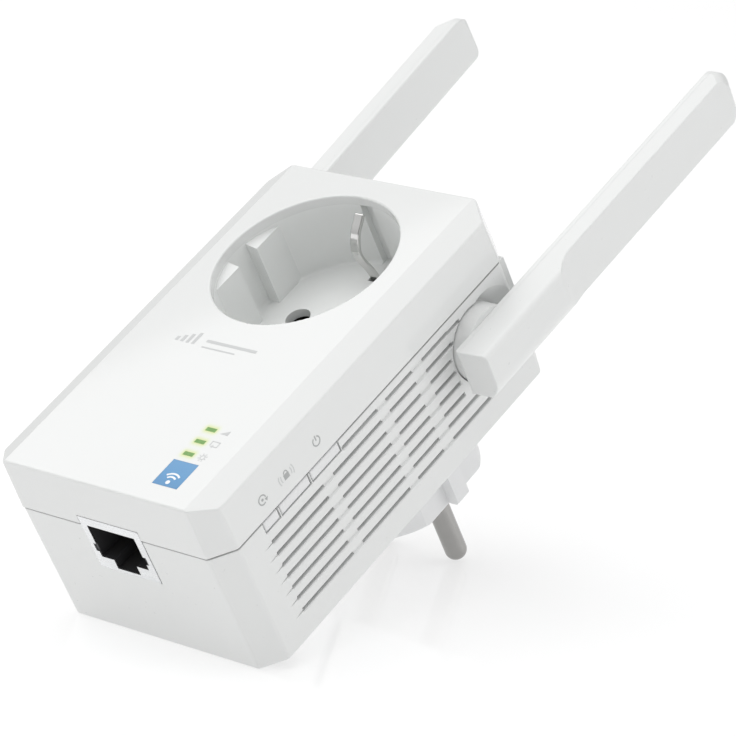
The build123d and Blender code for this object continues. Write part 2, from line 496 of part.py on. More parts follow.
blank = antenna_blank()
half = box(ant_x0 - 1, ant_split, -60, -10, -20, 120)
rest_of = box(ant_split + ant_seam, 60, -60, -10, -20, 120)
lip = box(ant_split - 0.3, ant_split + 0.7, ant_y0 + 1.35, ant_y1 - 1.35, 2.0, 89.3)
cavity = box(ant_split - 0.5, 36.2, ant_y0 + 1.25, ant_y1 - 1.25, 1.9, 89.4) + box(36.0, 38.9, ant_y0 + 1.4, -34.6, 1.9, 25.2)

inner = (blank & half) + (lip & blank)
barrel = cyl_x(barrel_r, pocket_x + 0.3, ant_x0 + 0.4, hinge_y, hinge_z)
barrel = soften(barrel, barrel.edges().filter_by(lambda e: abs(e.center().X - pocket_x - 0.3) < 0.01), 0.4)
inner += barrel
inner += cyl_x(axle_r, 22.6, ant_x0, hinge_y, hinge_z)
inner -= cyl_x(axle_r + 1, 24.5, 25.05, hinge_y, hinge_z) - cyl_x(2.5, 24.0, 25.5, hinge_y, hinge_z)
inner -= cyl_x(1.5, 22, ant_split + 2, hinge_y, hinge_z)
outer_shell = (blank & rest_of) - cavity
keeper = cyl_x(4.9, 24.5, 25.05, hinge_y, hinge_z) - cyl_x(2.5, 24, 26, hinge_y, hinge_z) - box(24, 26, hinge_y - 1.6, hinge_y + 1.6, hinge_z - 6, hinge_z)
radiator = box(35.45, 36.0, -40.9, -33.9, 18.0, 88.0)
path = FilletPolyline((20.8, hinge_y, hinge_z), (35.72 + 1.5, hinge_y, hinge_z), (35.72 + 1.5, hinge_y, 22.0), radius=2.4)
lead = sweep(Plane(origin=(20.8, hinge_y, hinge_z), z_dir=(1, 0, 0)) * Circle(0.7), path=path)
lead += box(36.0, 36.6, hinge_y - 1.2, hinge_y + 1.2, 19.0, 22.0)

for name, s in (("right", 1), ("left", -1)):
    def place(shape):
        if s > 0:
            return shape
        m = mirror(shape, about=Plane.YZ)
        return Pos(0, hinge_y, hinge_z) * Rot(left_tilt, 0, 0) * Pos(0, -hinge_y, -hinge_z) * m
    save("antenna_" + name + "_inner_shell", place(inner))
    save("antenna_" + name + "_outer_shell", place(outer_shell))
    save("antenna_" + name + "_hinge_keeper", place(keeper))
    save("antenna_" + name + "_radiator", place(radiator))
    save("antenna_" + name + "_lead", place(lead))
    rt = FilletPolyline((s * 20.3, hinge_y, hinge_z), (s * 16.2, hinge_y, hinge_z), (s * 16.2, hinge_y, -25.0), (s * 14.8, -48.2, -34.0) if s > 0 else (s * 17.4, -48.2, -30.0), radius=3.0)
    w = sweep(Plane(origin=(s * 20.3, hinge_y, hinge_z), z_dir=(-s, 0, 0)) * Circle(0.7), path=rt)
    ex, ez = (14.8, -34.0) if s > 0 else (-17.4, -30.0)
    w += box(ex - 1.3, ex + 1.3, main_y1, -48.0, ez - 1.3, ez + 1.3)
    save("board_lead_" + name, w)

wires = []
for s in (-1, 1):
    rt = FilletPolyline((s * 9.5, -25.0, -20.0), (s * 9.5, -30.0, -20.0), (s * 9.5, -30.0, -23.6), (s * 9.5, -25.0, -23.6), radius=1.7)
    wires.append(sweep(Plane(origin=(s * 9.5, -25.0, -20.0), z_dir=(0, -1, 0)) * Circle(0.7), path=rt))
save("mains_leads", group(wires))

print(len(made), "nodes")
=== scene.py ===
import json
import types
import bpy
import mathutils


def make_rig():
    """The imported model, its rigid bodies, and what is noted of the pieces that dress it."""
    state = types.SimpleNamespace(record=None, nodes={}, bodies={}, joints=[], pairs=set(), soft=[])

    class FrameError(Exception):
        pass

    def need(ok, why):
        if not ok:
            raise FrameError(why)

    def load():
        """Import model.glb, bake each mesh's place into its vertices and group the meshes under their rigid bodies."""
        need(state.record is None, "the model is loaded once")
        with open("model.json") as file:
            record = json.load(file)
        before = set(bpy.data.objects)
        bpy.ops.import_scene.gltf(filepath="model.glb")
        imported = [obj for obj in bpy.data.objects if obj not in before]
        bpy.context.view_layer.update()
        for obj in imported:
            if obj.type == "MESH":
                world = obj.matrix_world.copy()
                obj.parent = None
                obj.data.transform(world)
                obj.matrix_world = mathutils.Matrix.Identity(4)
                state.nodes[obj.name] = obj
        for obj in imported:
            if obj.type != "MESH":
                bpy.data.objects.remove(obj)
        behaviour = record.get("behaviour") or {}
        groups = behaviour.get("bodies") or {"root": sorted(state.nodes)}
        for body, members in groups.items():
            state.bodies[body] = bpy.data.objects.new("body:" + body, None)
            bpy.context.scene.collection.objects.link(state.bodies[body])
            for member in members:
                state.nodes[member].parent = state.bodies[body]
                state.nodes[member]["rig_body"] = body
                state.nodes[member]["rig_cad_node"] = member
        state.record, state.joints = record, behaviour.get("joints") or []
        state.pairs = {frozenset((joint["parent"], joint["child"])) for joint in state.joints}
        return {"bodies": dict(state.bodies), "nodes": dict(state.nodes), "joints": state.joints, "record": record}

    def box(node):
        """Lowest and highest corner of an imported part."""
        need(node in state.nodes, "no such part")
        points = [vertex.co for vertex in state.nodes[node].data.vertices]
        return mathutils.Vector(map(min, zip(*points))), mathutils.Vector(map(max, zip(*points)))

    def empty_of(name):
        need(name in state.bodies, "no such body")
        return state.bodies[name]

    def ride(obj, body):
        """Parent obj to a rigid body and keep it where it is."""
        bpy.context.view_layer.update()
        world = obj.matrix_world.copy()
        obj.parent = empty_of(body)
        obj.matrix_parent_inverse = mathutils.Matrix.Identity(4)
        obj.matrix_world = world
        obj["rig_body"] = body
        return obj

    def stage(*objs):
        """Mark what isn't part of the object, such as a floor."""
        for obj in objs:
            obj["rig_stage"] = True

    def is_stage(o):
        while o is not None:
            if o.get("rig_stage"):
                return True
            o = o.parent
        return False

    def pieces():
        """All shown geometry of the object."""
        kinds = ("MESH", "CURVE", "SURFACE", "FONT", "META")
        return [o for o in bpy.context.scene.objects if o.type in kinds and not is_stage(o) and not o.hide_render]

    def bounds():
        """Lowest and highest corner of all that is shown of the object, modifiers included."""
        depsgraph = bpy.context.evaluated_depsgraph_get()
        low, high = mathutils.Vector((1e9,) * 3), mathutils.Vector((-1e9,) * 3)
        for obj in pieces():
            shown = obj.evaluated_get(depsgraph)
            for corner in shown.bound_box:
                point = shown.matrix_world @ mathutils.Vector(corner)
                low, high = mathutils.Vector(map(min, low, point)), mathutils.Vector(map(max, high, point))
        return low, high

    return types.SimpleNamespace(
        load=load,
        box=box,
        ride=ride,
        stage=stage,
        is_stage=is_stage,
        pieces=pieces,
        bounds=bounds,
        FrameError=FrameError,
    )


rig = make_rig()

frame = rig.load()

import json
import math
import bpy
import bmesh
from mathutils import Matrix, Vector
from mathutils.bvhtree import BVHTree

CAD_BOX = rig.bounds()
MM = 0.001
scene = bpy.context.scene
nodes = frame["nodes"]


# ------------------------------------------------------------------ materials
def new_mat(name):
    m = bpy.data.materials.new(name)
    m.use_nodes = True
    nt = m.node_tree
    nt.nodes.clear()
    out = nt.nodes.new("ShaderNodeOutputMaterial")
    bsdf = nt.nodes.new("ShaderNodeBsdfPrincipled")
    nt.links.new(bsdf.outputs[0], out.inputs[0])
    return m, nt, bsdf


def noise(nt, coord, scale, detail=3.0, rough=0.5, stretch=None):
    n = nt.nodes.new("ShaderNodeTexNoise")
    n.inputs["Scale"].default_value = scale
    n.inputs["Detail"].default_value = detail
    n.inputs["Roughness"].default_value = rough
    src = coord
    if stretch:
        mp = nt.nodes.new("ShaderNodeMapping")
        mp.inputs["Scale"].default_value = stretch
        nt.links.new(coord, mp.inputs["Vector"])
        src = mp.outputs["Vector"]
    nt.links.new(src, n.inputs["Vector"])
    return n


def ramp(nt, fac, stops):
    r = nt.nodes.new("ShaderNodeValToRGB")
    e = r.color_ramp.elements
    while len(e) > 1:
        e.remove(e[-1])
    e[0].position, e[0].color = stops[0][0], (*stops[0][1], 1)
    for p, c in stops[1:]:
        el = e.new(p)
        el.color = (*c, 1)
    nt.links.new(fac, r.inputs["Fac"])
    return r


def grey(v):
    return (v, v, v)


def plastic(name, color, rough=0.35, grain=0.12, grain_scale=9000.0, spec=0.5, coat=0.0, vary=0.012, sss=0.0, gloss_drift=0.03):
    """Moulded plastic: fine spark-eroded grain, slow tone drift, uneven gloss."""
    m, nt, b = new_mat(name)
    co = nt.nodes.new("ShaderNodeTexCoord").outputs["Object"]
    slow = noise(nt, co, 60.0, 2.0)
    c = ramp(nt, slow.outputs["Fac"], [(0.3, tuple(x * (1 - vary) for x in color)), (0.7, tuple(min(1, x * (1 + vary * 0.4)) for x in color))])
    nt.links.new(c.outputs["Color"], b.inputs["Base Color"])
    rn = noise(nt, co, 900.0, 4.0)
    rr = ramp(nt, rn.outputs["Fac"], [(0.25, grey(rough - gloss_drift)), (0.75, grey(rough + gloss_drift))])
    nt.links.new(rr.outputs["Color"], b.inputs["Roughness"])
    g = noise(nt, co, grain_scale, 2.0, 0.6)
    bump = nt.nodes.new("ShaderNodeBump")
    bump.inputs["Strength"].default_value = grain
    bump.inputs["Distance"].default_value = 0.00003
    nt.links.new(g.outputs["Fac"], bump.inputs["Height"])
    nt.links.new(bump.outputs["Normal"], b.inputs["Normal"])
    b.inputs["Specular IOR Level"].default_value = spec
    b.inputs["IOR"].default_value = 1.5
    if coat:
        b.inputs["Coat Weight"].default_value = coat
        b.inputs["Coat Roughness"].default_value = 0.12
    if sss:
        b.inputs["Subsurface Weight"].default_value = sss
        b.inputs["Subsurface Radius"].default_value = (0.8, 0.8, 0.9)
        b.inputs["Subsurface Scale"].default_value = 0.0012
    return m


def metal(name, color, rough=0.18, lines=None, bump_s=0.1):
    """Drawn or plated metal: streaks along the drawing direction, tiny pits."""
    m, nt, b = new_mat(name)
    co = nt.nodes.new("ShaderNodeTexCoord").outputs["Object"]
    b.inputs["Metallic"].default_value = 1.0
    slow = noise(nt, co, 120.0, 3.0)
    c = ramp(nt, slow.outputs["Fac"], [(0.3, tuple(x * 0.93 for x in color)), (0.7, color)])
    nt.links.new(c.outputs["Color"], b.inputs["Base Color"])
    st = noise(nt, co, 1500.0, 4.0, 0.6, lines or (1, 0.06, 1))
    rr = ramp(nt, st.outputs["Fac"], [(0.3, grey(max(0.03, rough - 0.06))), (0.7, grey(rough + 0.08))])
    nt.links.new(rr.outputs["Color"], b.inputs["Roughness"])
    bump = nt.nodes.new("ShaderNodeBump")
    bump.inputs["Strength"].default_value = bump_s
    bump.inputs["Distance"].default_value = 0.00002
    nt.links.new(st.outputs["Fac"], bump.inputs["Height"])
    nt.links.new(bump.outputs["Normal"], b.inputs["Normal"])
    return m


def assign(node, *mats):
    o = nodes[node]
    o.data.materials.clear()
    for m in mats:
        o.data.materials.append(m)
    return o


# positions of the three status lights, read from the light pipe's own box
lp_lo, lp_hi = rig.box("light_pipe")
led_nodes_z = []


def cover_plastic():
    """Case plastic with a painted glow: the soft green bloom that lit windows throw on it is painted into its colour
    and emission.
    """
    m = plastic("case_front_plastic", (0.797, 0.806, 0.80), rough=0.06, grain=0.006, vary=0.003, gloss_drift=0.008)
    nt = m.node_tree
    b = next(n for n in nt.nodes if n.type == "BSDF_PRINCIPLED")
    co = next(n for n in nt.nodes if n.type == "TEX_COORD").outputs["Object"]
    sep = nt.nodes.new("ShaderNodeSeparateXYZ")
    nt.links.new(co, sep.inputs[0])

    def math_node(op, a, b_=None):
        n = nt.nodes.new("ShaderNodeMath")
        n.operation = op
        for i, v in enumerate((a, b_)):
            if v is None:
                continue
            if isinstance(v, (int, float)):
                n.inputs[i].default_value = v
            else:
                nt.links.new(v, n.inputs[i])
        return n.outputs[0]

    total = None
    for cx, cz in LED_CENTRES:
        # distance to the window's short line segment, in metres
        dx = math_node("SUBTRACT", math_node("ABSOLUTE", math_node("SUBTRACT", sep.outputs["X"], cx)), 0.0010)
        dx = math_node("MAXIMUM", dx, 0.0)
        dz = math_node("SUBTRACT", math_node("ABSOLUTE", math_node("SUBTRACT", sep.outputs["Z"], cz)), 0.0003)
        dz = math_node("MAXIMUM", dz, 0.0)
        d2 = math_node("ADD", math_node("MULTIPLY", dx, dx), math_node("MULTIPLY", dz, dz))
        g = math_node("EXPONENT", math_node("MULTIPLY", d2, -1.0 / (2 * 0.00058 ** 2)))
        total = g if total is None else math_node("ADD", total, g)
    total = math_node("MINIMUM", total, 1.0)
    front = math_node("LESS_THAN", sep.outputs["Y"], FRONT_Y + 0.0002)
    total = math_node("MULTIPLY", total, front)
    # painted glow: around each status window the base colour is pulled towards yellow-green and given a faint
    # emission, standing in for light the windows throw on the plastic
    base = b.inputs["Base Color"].links[0].from_socket
    mix = nt.nodes.new("ShaderNodeMix")
    mix.data_type = "RGBA"
    mix.inputs["Factor"].default_value = 0
    nt.links.new(math_node("MULTIPLY", total, 0.96), mix.inputs["Factor"])
    nt.links.new(base, mix.inputs["A"])
    mix.inputs["B"].default_value = (0.655, 0.735, 0.30, 1)
    nt.links.new(mix.outputs["Result"], b.inputs["Base Color"])
    b.inputs["Emission Color"].default_value = (0.72, 0.95, 0.25, 1)
    em = math_node("MULTIPLY", total, 0.02)
    nt.links.new(em, b.inputs["Emission Strength"])
    return m


FRONT_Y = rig.box("front_cover")[0].y
# the windows are the islands of the light pipe that reach the front
_lp = nodes["light_pipe"].data
_zs = sorted({round(v.co.z, 5) for v in _lp.vertices if v.co.y < FRONT_Y + 0.0002})
LED_CENTRES = []
_groups = []
for z in _zs:
    if _groups and z - _groups[-1][-1] < 0.0015:
        _groups[-1].append(z)
    else:
        _groups.append([z])
for g in _groups:
    xs = [v.co.x for v in _lp.vertices if v.co.y < FRONT_Y + 0.0002 and g[0] - 1e-5 <= v.co.z <= g[-1] + 1e-5]
    LED_CENTRES.append(((min(xs) + max(xs)) / 2, (g[0] + g[-1]) / 2))

white = (0.797, 0.806, 0.80)
M_COVER = cover_plastic()
M_CASE = plastic("case_rear_plastic", white, rough=0.30, grain=0.03, vary=0.005)


def paint_gap_shade(m, y_limit, tone):
    """Painted shade in the parting gap: everything forward of the rim face is toned down to stand in for the shadow
    there.
    """
    nt = m.node_tree
    b = next(n for n in nt.nodes if n.type == "BSDF_PRINCIPLED")
    co = next(n for n in nt.nodes if n.type == "TEX_COORD").outputs["Object"]
    sep = nt.nodes.new("ShaderNodeSeparateXYZ")
    nt.links.new(co, sep.inputs[0])
    less = nt.nodes.new("ShaderNodeMath")
    less.operation = "LESS_THAN"
    nt.links.new(sep.outputs["Y"], less.inputs[0])
    less.inputs[1].default_value = y_limit
    mix = nt.nodes.new("ShaderNodeMix")
    mix.data_type = "RGBA"
    nt.links.new(less.outputs[0], mix.inputs["Factor"])
    nt.links.new(b.inputs["Base Color"].links[0].from_socket, mix.inputs["A"])
    mix.inputs["B"].default_value = (*tone, 1)
    nt.links.new(mix.outputs["Result"], b.inputs["Base Color"])


# painted shade: the rear housing's rim face and tongue, forward of the cover's back face, are toned grey as a stand-in
# for the shadow in the parting gap
paint_gap_shade(M_CASE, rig.box("front_cover")[1].y + 0.00042, (0.50, 0.505, 0.50))
M_INSERT = plastic("socket_plastic", (0.83, 0.842, 0.833), rough=0.36, grain=0.04, vary=0.006)
M_PLUG = plastic("plug_plastic", (0.80, 0.805, 0.81), rough=0.34, grain=0.04, vary=0.006)
M_ANT = plastic("antenna_plastic", white, rough=0.30, grain=0.03, vary=0.005)
M_BTN = plastic("button_plastic", (0.80, 0.805, 0.81), rough=0.26, grain=0.02, vary=0.005)
M_CHROME = metal("bright_clip_metal", (0.66, 0.66, 0.65), rough=0.07, bump_s=0.03)
M_PIN = metal("pin_metal", (0.37, 0.365, 0.355), rough=0.10)
M_BRASS = metal("contact_brass", (0.80, 0.62, 0.30), rough=0.25)
# painted shade: the contact sleeves get a near-black metal colour that stands in for the shadow they sit in
M_SLEEVE = metal("shadowed_sleeve_metal", (0.05, 0.045, 0.035), rough=0.45)
M_GOLD = metal("contact_gold", (0.90, 0.72, 0.36), rough=0.2)
M_SHIELD = metal("jack_shell_metal", (0.78, 0.79, 0.80), rough=0.26, lines=(0.06, 1, 1))
M_SCREW = metal("screw_metal", (0.62, 0.63, 0.65), rough=0.25, lines=(1, 1, 1))
M_JACK = plastic("jack_plastic", (0.03, 0.03, 0.032), rough=0.45, grain=0.3)
M_BOARD = plastic("board_lacquer", (0.03, 0.16, 0.08), rough=0.3, grain=0.4, grain_scale=3000)
M_CHIP = plastic("chip_resin", (0.03, 0.03, 0.033), rough=0.5, grain=0.5)
M_FERRITE = plastic("ferrite", (0.07, 0.07, 0.075), rough=0.6, grain=0.8)
M_TAPE = plastic("winding_tape", (0.80, 0.62, 0.12), rough=0.3)
M_CAP = plastic("capacitor_sleeve", (0.04, 0.05, 0.12), rough=0.2)
M_FILM = plastic("film_capacitor", (0.78, 0.62, 0.14), rough=0.4)
M_FUSE = plastic("fuse_ceramic", (0.5, 0.3, 0.2), rough=0.5)
M_SWITCH = plastic("switch_plastic", (0.05, 0.05, 0.055), rough=0.45)
M_LEAD = plastic("lead_insulation", (0.08, 0.08, 0.085), rough=0.4)


def light_mat():
    m, nt, b = new_mat("status_light")
    co = nt.nodes.new("ShaderNodeTexCoord").outputs["Object"]
    n = noise(nt, co, 1400.0, 3.0)
    c = ramp(nt, n.outputs["Fac"], [(0.3, (0.125, 0.28, 0.055)), (0.7, (0.165, 0.35, 0.085))])
    nt.links.new(c.outputs["Color"], b.inputs["Base Color"])
    nt.links.new(c.outputs["Color"], b.inputs["Emission Color"])
    b.inputs["Emission Strength"].default_value = 0.10
    b.inputs["Roughness"].default_value = 0.3
    return m


def label_mat():
    m, nt, b = new_mat("status_label_film")
    co = nt.nodes.new("ShaderNodeTexCoord").outputs["Object"]
    sep = nt.nodes.new("ShaderNodeSeparateXYZ")
    nt.links.new(co, sep.inputs[0])
    lo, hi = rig.box("status_label")
    mr = nt.nodes.new("ShaderNodeMapRange")
    mr.inputs["From Min"].default_value = lo.z
    mr.inputs["From Max"].default_value = hi.z
    nt.links.new(sep.outputs["Z"], mr.inputs["Value"])
    c = ramp(nt, mr.outputs["Result"], [(0.0, (0.070, 0.265, 0.53)), (0.45, (0.082, 0.30, 0.585)), (1.0, (0.105, 0.32, 0.60))])
    n = noise(nt, co, 5000.0, 2.0)
    mix = nt.nodes.new("ShaderNodeMix")
    mix.data_type = "RGBA"
    mix.inputs["Factor"].default_value = 0.06
    nt.links.new(c.outputs["Color"], mix.inputs["A"])
    nt.links.new(n.outputs["Color"], mix.inputs["B"])
    nt.links.new(mix.outputs["Result"], b.inputs["Base Color"])
    b.inputs["Roughness"].default_value = 0.35
    return m


M_LIGHT = light_mat()
M_LABEL = label_mat()
M_PRINT = plastic("grey_print", (0.42, 0.43, 0.43), rough=0.5, grain=0.2)
M_PRINT_LIGHT = plastic("pale_print", (0.60, 0.61, 0.61), rough=0.5, grain=0.2)
M_PRINT_WHITE = plastic("white_print", (0.92, 0.93, 0.94), rough=0.4, grain=0.1)

MAP = {
    "front_cover": M_COVER, "rear_housing": M_CASE, "socket_insert": M_INSERT, "plug_body": M_PLUG,
    "earth_clip_upper": M_CHROME, "earth_clip_lower": M_CHROME, "plug_pin_left": M_PIN, "plug_pin_right": M_PIN,
    "plug_earth_contact_upper": M_CHROME, "plug_earth_contact_lower": M_CHROME, "earth_strap": M_BRASS,
    "contact_sleeve_left": M_SLEEVE, "contact_sleeve_right": M_SLEEVE, "bus_bar_left": M_BRASS, "bus_bar_right": M_BRASS,
    "power_board": M_BOARD, "main_board": M_BOARD, "transformer_core": M_FERRITE, "transformer_winding": M_TAPE,
    "mains_capacitors": M_CAP, "output_capacitor": M_CAP, "fuse": M_FUSE, "suppression_capacitor": M_FILM,
    "inductor": M_FERRITE, "rectifier_and_driver": M_CHIP, "radio_chip": M_CHIP, "memory_chips": M_CHIP,
    "board_to_board_header": M_JACK, "shield_can": M_SHIELD, "status_leds": M_LIGHT, "light_pipe": M_LIGHT,
    "status_label": M_LABEL, "jack_shell": M_SHIELD, "jack_insert": M_JACK, "jack_contacts": M_GOLD,
    "reset_button": M_BTN, "pair_button": M_BTN, "power_button": M_BTN, "reset_switch": M_SWITCH,
    "pair_switch": M_SWITCH, "power_switch": M_SWITCH, "case_screws": M_SCREW, "board_screws": M_SCREW,
    "mains_leads": M_LEAD, "board_lead_left": M_LEAD, "board_lead_right": M_LEAD,
}
for side in ("left", "right"):
    MAP[f"antenna_{side}_inner_shell"] = M_ANT
    MAP[f"antenna_{side}_outer_shell"] = M_ANT
    MAP[f"antenna_{side}_hinge_keeper"] = M_SCREW
    MAP[f"antenna_{side}_radiator"] = M_BOARD
    MAP[f"antenna_{side}_lead"] = M_LEAD
for n in nodes:
    assign(n, MAP[n])


# ------------------------------------------------------- printed marks (meshes)
def surface_of(node):
    o = nodes[node]
    bm = bmesh.new()
    bm.from_mesh(o.data)
    t = BVHTree.FromBMesh(bm)
    bm.free()
    return t


def ring(cx, cy, r0, r1, a0=0.0, a1=360.0, n=40):
    """Polygon of an annular sector, in mm."""
    full = abs(a1 - a0) >= 359.9
    A = [math.radians(a0 + (a1 - a0) * i / n) for i in range(n + (0 if full else 1))]
    quads = []
    for i in range(n):
        a, b = A[i], A[(i + 1) % len(A)]
        quads.append([(cx + r0 * math.cos(a), cy + r0 * math.sin(a)), (cx + r1 * math.cos(a), cy + r1 * math.sin(a)),
                      (cx + r1 * math.cos(b), cy + r1 * math.sin(b)), (cx + r0 * math.cos(b), cy + r0 * math.sin(b))])
    return quads


def bar(x0, y0, x1, y1, w):
    dx, dy = x1 - x0, y1 - y0
    n = math.hypot(dx, dy)
    px, py = -dy / n * w / 2, dx / n * w / 2
    return [[(x0 + px, y0 + py), (x0 - px, y0 - py), (x1 - px, y1 - py), (x1 + px, y1 + py)]]


def decal(name, polys, to3d, direction, node, mat, body="case", lift=0.00003, cut=0.0005):
    """Thin printed ink laid on a CAD surface. polys are 2-D in mm, to3d maps them near the surface,
    direction points at it; every corner is dropped onto the CAD node along that direction."""
    tree = surface_of(node)
    bm = bmesh.new()
    d = Vector(direction).normalized()
    for poly in polys:
        try:
            vs = []
            for p in poly:
                q = to3d(*p)
                hit, nrm, _, dist = tree.ray_cast(q - d * 0.01, d)
                if hit is None:
                    raise ValueError(name)
                vs.append(bm.verts.new(hit - d * lift))
            bm.faces.new(vs)
        except ValueError:
            continue
    bmesh.ops.remove_doubles(bm, verts=bm.verts, dist=2e-6)
    bmesh.ops.recalc_face_normals(bm, faces=bm.faces)
    # give the ink a real thickness, reaching just under the surface
    ret = bmesh.ops.extrude_face_region(bm, geom=list(bm.faces))
    for v in [g for g in ret["geom"] if isinstance(g, bmesh.types.BMVert)]:
        v.co = v.co + d * (lift + 0.00001)
    bmesh.ops.recalc_face_normals(bm, faces=bm.faces)
    me = bpy.data.meshes.new(name)
    bm.to_mesh(me)
    bm.free()
    o = bpy.data.objects.new(name, me)
    scene.collection.objects.link(o)
    me.materials.append(mat)
    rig.ride(o, body)
    return o


def front3d(x, z):
    return Vector((x * MM, FRONT_Y, z * MM))


FWD = (0, 1, 0)
(lx1, lz1), (lx2, lz2), (lx3, lz3) = [(a * 1000, b * 1000) for a, b in LED_CENTRES[:3]]
icon_x = lx2 + 3.65

# strength wedge by the top light
decal("mark_strength", [[(icon_x - 0.95, lz3 - 0.48), (icon_x + 0.98, lz3 - 0.5), (icon_x + 0.96, lz3 + 0.75)]], front3d, FWD, "front_cover", M_PRINT_LIGHT)
# open loop by the middle light
q = []
x0, x1, z0, z1 = icon_x - 0.95, icon_x + 0.95, lz2 - 0.45, lz2 + 0.85
for a in ((x0, z1, x1, z1), (x1, z1, x1, z0), (x0, z1, x0, z0 + 0.1), (x1, z0, x0 + 0.9, z0)):
    q += bar(*a, 0.2)
q += [[(x0 + 0.9, z0 + 0.42), (x0 + 0.25, z0), (x0 + 0.9, z0 - 0.42)]]
decal("mark_link", q, front3d, FWD, "front_cover", M_PRINT_LIGHT)
# small sun by the lower light
q = ring(icon_x, lz1, 0.42, 0.62, n=24)
for k in range(8):
    a = math.radians(45 * k + 22.5)
    q += bar(icon_x + 0.72 * math.cos(a), lz1 + 0.72 * math.sin(a), icon_x + 1.08 * math.cos(a), lz1 + 1.08 * math.sin(a), 0.18)
decal("mark_power_light", q, front3d, FWD, "front_cover", M_PRINT_LIGHT)

# waves on the blue label
llo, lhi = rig.box("status_label")
lcx, lcz = (llo.x + lhi.x) / 2 * 1000, (llo.z + lhi.z) / 2 * 1000
q = ring(lcx, lcz - 2.35, 0.0001, 0.5, n=24)
for r in (1.25, 2.1):
    q += ring(lcx, lcz - 2.35, r, r + 0.42, 45, 135, n=24)
decal("mark_waves", q, front3d, FWD, "status_label", M_PRINT_WHITE)

# neutral mark on the lower front: a row of rounded bars
q = []
for i, h in enumerate((1.2, 1.9, 2.6, 3.3)):
    q += bar(-12.0 + i * 1.5, -27.8, -12.0 + i * 1.5, -27.8 + h, 0.8)
q += bar(-4.8, -26.2, 8.5, -26.2, 0.75)
q += bar(-4.8, -28.0, 4.0, -28.0, 0.35)
decal("mark_front", q, front3d, FWD, "front_cover", M_PRINT_LIGHT)

SIDE_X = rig.box("front_cover")[1].x


def side3d(z, y):
    return Vector((SIDE_X, y * MM, z * MM))


SIDEWARD = (-1, 0, 0)


def centre_z(node):
    lo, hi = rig.box(node)
    return (lo.z + hi.z) / 2 * 1000


label_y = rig.box("rear_housing")[0].y * 1000 - 2.2
label_y = -51.3
zr, zp, zw = centre_z("reset_button"), centre_z("pair_button"), centre_z("power_button")
# reset: open circle with an arrow head
q = ring(zr, label_y, 0.85, 1.12, 60, 360, n=30)
q += [[(zr + 0.55, label_y + 0.2), (zr + 1.5, label_y + 0.2), (zr + 1.0, label_y + 0.95)]]
q += ring(zr, label_y, 0.0001, 0.3, n=16)
decal("mark_reset", q, side3d, SIDEWARD, "front_cover", M_PRINT)
# pair: closed lock between two sets of waves
q = [[(zp - 0.75, label_y + 0.95), (zp + 0.75, label_y + 0.95), (zp + 0.75, label_y - 0.25), (zp - 0.75, label_y - 0.25)]]
q += ring(zp, label_y - 0.35, 0.38, 0.62, 180, 360, n=20)
decal("mark_pair", q, side3d, SIDEWARD, "front_cover", M_PRINT)
q = []
for r in (1.45, 2.1):
    q += ring(zp, label_y + 0.2, r, r + 0.22, -28, 28, n=12) + ring(zp, label_y + 0.2, r, r + 0.22, 152, 208, n=12)
decal("mark_pair_waves", q, side3d, SIDEWARD, "front_cover", M_PRINT_LIGHT)
# power: ring with a gap and a stroke
q = ring(zw, label_y, 0.85, 1.12, -60, 240, n=36) + bar(zw, label_y - 1.25, zw, label_y - 0.1, 0.28)
decal("mark_power", q, side3d, SIDEWARD, "front_cover", M_PRINT)


# ------------------------------------------------------------ camera and stage
R0 = Vector((0.7501353, 0.3158317, 0.5809883))
R1 = Vector((0.1744663, 0.7529256, -0.6345585))
R2 = Vector((-0.6378547, 0.5773676, 0.5096941))
cam_data = bpy.data.cameras.new("camera")
cam = bpy.data.objects.new("camera", cam_data)
scene.collection.objects.link(cam)
right, down, fwd = R0.normalized(), R1.normalized(), R2.normalized()
right = down.cross(fwd).normalized()
down = fwd.cross(right).normalized()
m = Matrix((( right.x, -down.x, -fwd.x, 0.46666637), (right.y, -down.y, -fwd.y, -0.45003901), (right.z, -down.z, -fwd.z, -0.36824101), (0, 0, 0, 1)))
cam.matrix_world = m
cam_data.sensor_width = 36.0
cam_data.lens = 3564.203 / 736.0 * 36.0
cam_data.clip_start, cam_data.clip_end = 0.01, 20.0
cam_data.dof.use_dof = False
scene.camera = cam

# the surface it lies on touches the rear lower edge and both pin tips
rear_lo, rear_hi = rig.box("rear_housing")
pin_lo, pin_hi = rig.box("plug_pin_right")
pin_r = 0.0024
edge = Vector((0, rear_hi.y - 0.0005, rear_lo.z + 0.0002))
tip = Vector((0, pin_hi.y - pin_r, 0))
d = tip - edge
dist = math.hypot(d.y, d.z)
ang = math.atan2(d.z, d.y) - math.asin((pin_r) / dist)
along = Vector((0, math.cos(ang), math.sin(ang)))
normal = Vector((0, -along.z, along.y))
if normal.y > 0:
    normal = -normal
base = edge - normal * 0.0006


def build_floor():
    bm = bmesh.new()
    n = 24
    rows = []
    for i in range(n + 1):
        row = []
        for j in range(n + 1):
            u, v = (i / n - 0.5) * 6.0, (j / n - 0.5) * 6.0
            row.append(bm.verts.new(base + Vector((u, 0, 0)) + along * v))
        rows.append(row)
    for i in range(n):
        for j in range(n):
            bm.faces.new((rows[i][j], rows[i + 1][j], rows[i + 1][j + 1], rows[i][j + 1]))
    bm.normal_update()
    if bm.faces[:][0].normal.dot(normal) < 0:
        bmesh.ops.reverse_faces(bm, faces=bm.faces)
    me = bpy.data.meshes.new("floor")
    bm.to_mesh(me)
    bm.free()
    o = bpy.data.objects.new("floor", me)
    scene.collection.objects.link(o)
    return o


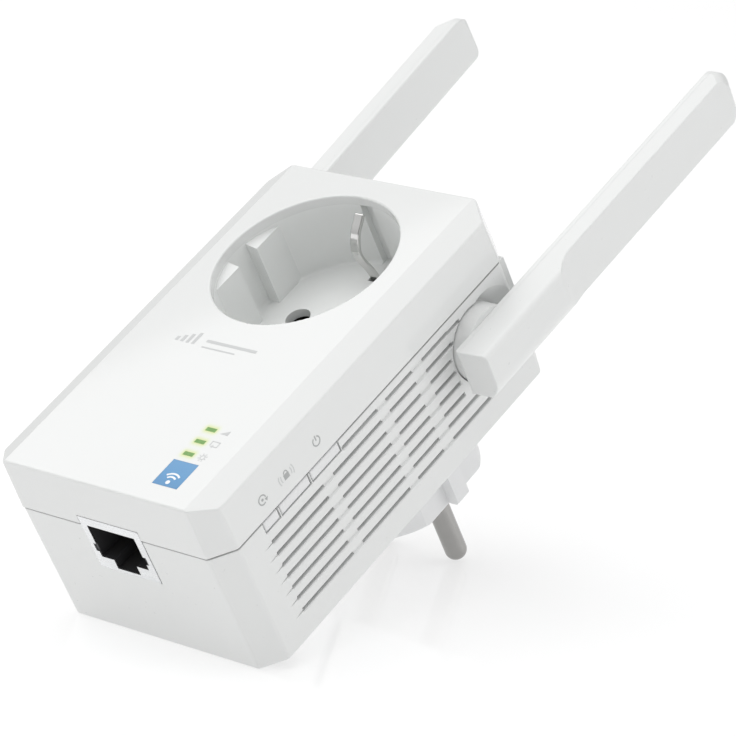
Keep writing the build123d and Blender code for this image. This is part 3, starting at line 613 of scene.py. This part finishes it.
floor = build_floor()
mf = bpy.data.materials.new("floor_surface")
mf.use_nodes = True
nt = mf.node_tree
nt.nodes.clear()
out = nt.nodes.new("ShaderNodeOutputMaterial")
pb = nt.nodes.new("ShaderNodeBsdfPrincipled")
pb.inputs["Base Color"].default_value = (0.50, 0.50, 0.50, 1)
pb.inputs["Roughness"].default_value = 0.08
pb.inputs["Specular IOR Level"].default_value = 0.5
pb.inputs["Emission Color"].default_value = (1, 1, 1, 1)
pb.inputs["Emission Strength"].default_value = 0.524
geo = nt.nodes.new("ShaderNodeNewGeometry")
tr = nt.nodes.new("ShaderNodeBsdfTransparent")
mx = nt.nodes.new("ShaderNodeMixShader")
nt.links.new(geo.outputs["Backfacing"], mx.inputs["Fac"])
nt.links.new(pb.outputs[0], mx.inputs[1])
nt.links.new(tr.outputs[0], mx.inputs[2])
nt.links.new(mx.outputs[0], out.inputs[0])
floor.data.materials.append(mf)
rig.stage(floor)

world = bpy.data.worlds.new("world")
scene.world = world
world.use_nodes = True
wt = world.node_tree
bg = wt.nodes["Background"]
bg.inputs["Color"].default_value = (1, 1, 1, 1)
SKY_POWER = 6.0
SKY_BASE = 0.3
# broad soft lobes of studio light: direction they come from, strength
SKY = [((-0.63, -0.77, 0.06), 0.448), ((0.8, -0.05, 0.6), 1.257), ((-0.8, -0.1, 0.6), 0.243), ((-0.65, -0.45, -0.6), 0.32), ((0.0, -0.97, 0.2), 1.817)]


def build_sky(base, lobes):
    for n in [n for n in wt.nodes if n.type not in ("BACKGROUND", "OUTPUT_WORLD")]:
        wt.nodes.remove(n)
    co = wt.nodes.new("ShaderNodeTexCoord").outputs["Generated"]
    total = wt.nodes.new("ShaderNodeValue")
    total.outputs[0].default_value = base
    total = total.outputs[0]
    for (x, y, z), strength in lobes:
        v = Vector((x, y, z)).normalized()
        dot = wt.nodes.new("ShaderNodeVectorMath")
        dot.operation = "DOT_PRODUCT"
        wt.links.new(co, dot.inputs[0])
        dot.inputs[1].default_value = v
        pos = wt.nodes.new("ShaderNodeMath")
        pos.operation = "MAXIMUM"
        wt.links.new(dot.outputs["Value"], pos.inputs[0])
        pos.inputs[1].default_value = 0.0
        pw = wt.nodes.new("ShaderNodeMath")
        pw.operation = "POWER"
        wt.links.new(pos.outputs[0], pw.inputs[0])
        pw.inputs[1].default_value = SKY_POWER
        add = wt.nodes.new("ShaderNodeMath")
        add.operation = "MULTIPLY_ADD"
        wt.links.new(pw.outputs[0], add.inputs[0])
        add.inputs[1].default_value = strength
        wt.links.new(total, add.inputs[2])
        total = add.outputs[0]
    # the plain backdrop itself reads white
    path = wt.nodes.new("ShaderNodeLightPath")
    back = wt.nodes.new("ShaderNodeMix")
    back.data_type = "FLOAT"
    wt.links.new(path.outputs["Is Camera Ray"], back.inputs["Factor"])
    wt.links.new(total, back.inputs["A"])
    back.inputs["B"].default_value = 1.0
    wt.links.new(back.outputs["Result"], bg.inputs["Strength"])


build_sky(SKY_BASE, SKY)

# large soft box in front and to the upper left; its lower edge is what the glossy front mirrors
SOFT_POWER = 1.8
soft_data = bpy.data.lights.new("softbox", "AREA")
soft_data.energy = SOFT_POWER
soft_data.shape = "SQUARE"
soft_data.size = 0.7
softbox = bpy.data.objects.new("softbox", soft_data)
scene.collection.objects.link(softbox)
sx, sy, sz = Vector((-0.60703, -0.02184, -0.79438)), Vector((0.44951, -0.83377, -0.32057)), Vector((-0.65533, -0.55168, 0.51595))
softbox.matrix_world = Matrix(((sx.x, sy.x, sz.x, -0.49006), (sx.y, sy.y, sz.y, -0.89883), (sx.z, sy.z, sz.z, 0.39667), (0, 0, 0, 1)))
softbox.visible_camera = False

scene.view_settings.view_transform = "Standard"
scene.view_settings.look = "None"
scene.view_settings.exposure = 0.0
scene.view_settings.gamma = 1.0

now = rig.bounds()
with open("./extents.json", "w") as f:
    json.dump({"cad": [list(CAD_BOX[0]), list(CAD_BOX[1])], "visual": [list(now[0]), list(now[1])]}, f)
